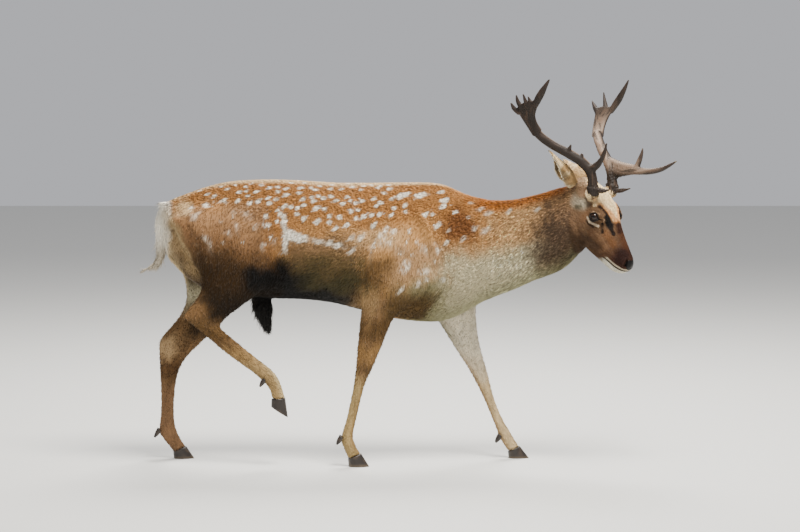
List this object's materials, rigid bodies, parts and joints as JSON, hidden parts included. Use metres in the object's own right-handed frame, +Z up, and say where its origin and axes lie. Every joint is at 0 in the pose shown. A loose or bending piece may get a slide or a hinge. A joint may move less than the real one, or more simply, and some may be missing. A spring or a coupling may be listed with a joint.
{
  "type": "fallow deer",
  "caption": "Life-size fallow deer buck in spotted summer coat, walking with its head lowered and turned, palmate antlers, one hind foot lifted.",
  "frame": {"origin": "on the ground, under the middle of the whole animal's box", "axes": "+X towards the nose, +Y to the animal's left, +Z up"},
  "size_m": [1.696, 0.4318, 1.2488],
  "materials": {
    "coat": "short flat chestnut fur with white spots, pale belly and rump; matte with a slight sheen",
    "antler": "dark grooved bone with pale worn tips, satin",
    "hoof": "black horn, satin, finely ridged",
    "nose": "black moist skin, fine-grained, semi-gloss",
    "eye": "dark wet eye, glossy"
  },
  "bodies": {
    "root": {"trunk": "coat", "leg_fore_right": "coat", "leg_fore_left": "coat", "leg_hind_right": "coat", "leg_hind_left": "coat", "tail": "coat", "sheath": "coat", "neck": "coat", "head": "coat", "ear_right": "coat", "ear_left": "coat", "hoof_fore_right_outer": "hoof", "dewclaw_fore_right_outer": "hoof", "hoof_fore_right_inner": "hoof", "dewclaw_fore_right_inner": "hoof", "hoof_fore_left_outer": "hoof", "dewclaw_fore_left_outer": "hoof", "hoof_fore_left_inner": "hoof", "dewclaw_fore_left_inner": "hoof", "hoof_hind_right_outer": "hoof", "dewclaw_hind_right_outer": "hoof", "hoof_hind_right_inner": "hoof", "dewclaw_hind_right_inner": "hoof", "hoof_hind_left_outer": "hoof", "dewclaw_hind_left_outer": "hoof", "hoof_hind_left_inner": "hoof", "dewclaw_hind_left_inner": "hoof", "eye_right": "eye", "eye_left": "eye", "antler_right_beam": "antler", "antler_right_brow_tine": "antler", "antler_right_base_tine": "antler", "antler_right_palm": "antler", "antler_right_top_tine": "antler", "antler_left_beam": "antler", "antler_left_brow_tine": "antler", "antler_left_base_tine": "antler", "antler_left_palm": "antler", "antler_left_top_tine": "antler"}
  },
  "joints": []
}
